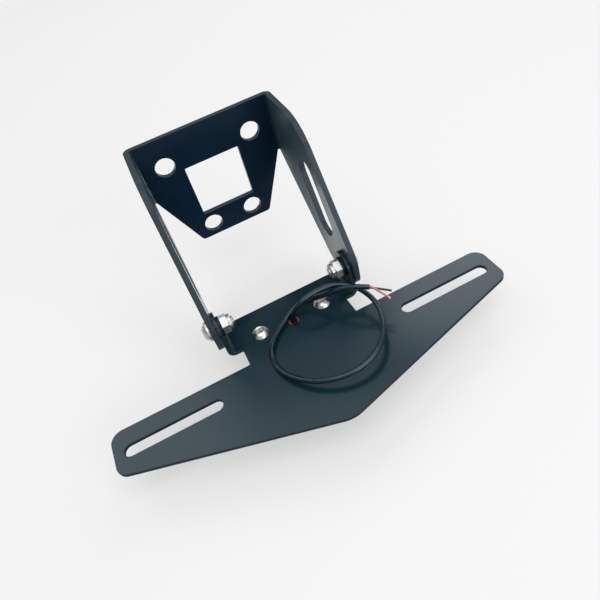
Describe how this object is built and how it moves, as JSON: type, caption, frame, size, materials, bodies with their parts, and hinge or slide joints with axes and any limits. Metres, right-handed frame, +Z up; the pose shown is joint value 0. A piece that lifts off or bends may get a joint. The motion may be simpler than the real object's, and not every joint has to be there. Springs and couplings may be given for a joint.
{
  "type": "tail tidy",
  "caption": "Folded black bracket that bolts under a motorbike's tail and carries the number plate on a tilting slotted plate with a light and its cable.",
  "frame": {"origin": "on the mounting face, midway between the two upper tail bolts", "axes": "+Y out of the mounting face, +Z up along the base plate, X along the tilt axis"},
  "size_m": [0.2302, 0.1615, 0.11],
  "materials": {
    "black_coat": "satin powder coat",
    "stainless": "bright",
    "nylon": "matte",
    "led": "gloss",
    "light_shell": "matte",
    "clear_lens": "clear",
    "board": "satin",
    "bush": "matte",
    "cable_sheath": "satin",
    "red_lead": "satin",
    "black_lead": "satin"
  },
  "bodies": {
    "bracket": {"upper_bracket": "black_coat", "pivot_washer_inner_left": "black_coat", "pivot_washer_inner_right": "black_coat", "pivot_bolt_left": "stainless", "pivot_bolt_right": "stainless", "pivot_washer_outer_left": "stainless", "pivot_washer_outer_right": "stainless", "pivot_nut_left": "stainless", "pivot_nut_right": "stainless", "pivot_nut_ring_left": "nylon", "pivot_nut_ring_right": "nylon"},
    "plate": {"plate_bracket": "black_coat", "light_screw_left": "stainless", "light_screw_right": "stainless", "light_nut_left": "stainless", "light_nut_right": "stainless", "light_led_1": "led", "light_led_2": "led", "light_led_3": "led", "light_housing": "light_shell", "light_lens": "clear_lens", "light_board": "board", "cable_grommet": "bush", "cable": "cable_sheath", "lead_red": "red_lead", "lead_black": "black_lead"}
  },
  "joints": [
    {"name": "plate_tilt", "type": "hinge", "parent": "bracket", "child": "plate", "pos_m": [0, -0.0777, -0.0605], "axis": [1, 0, 0], "range_deg": [-60, 90]}
  ]
}
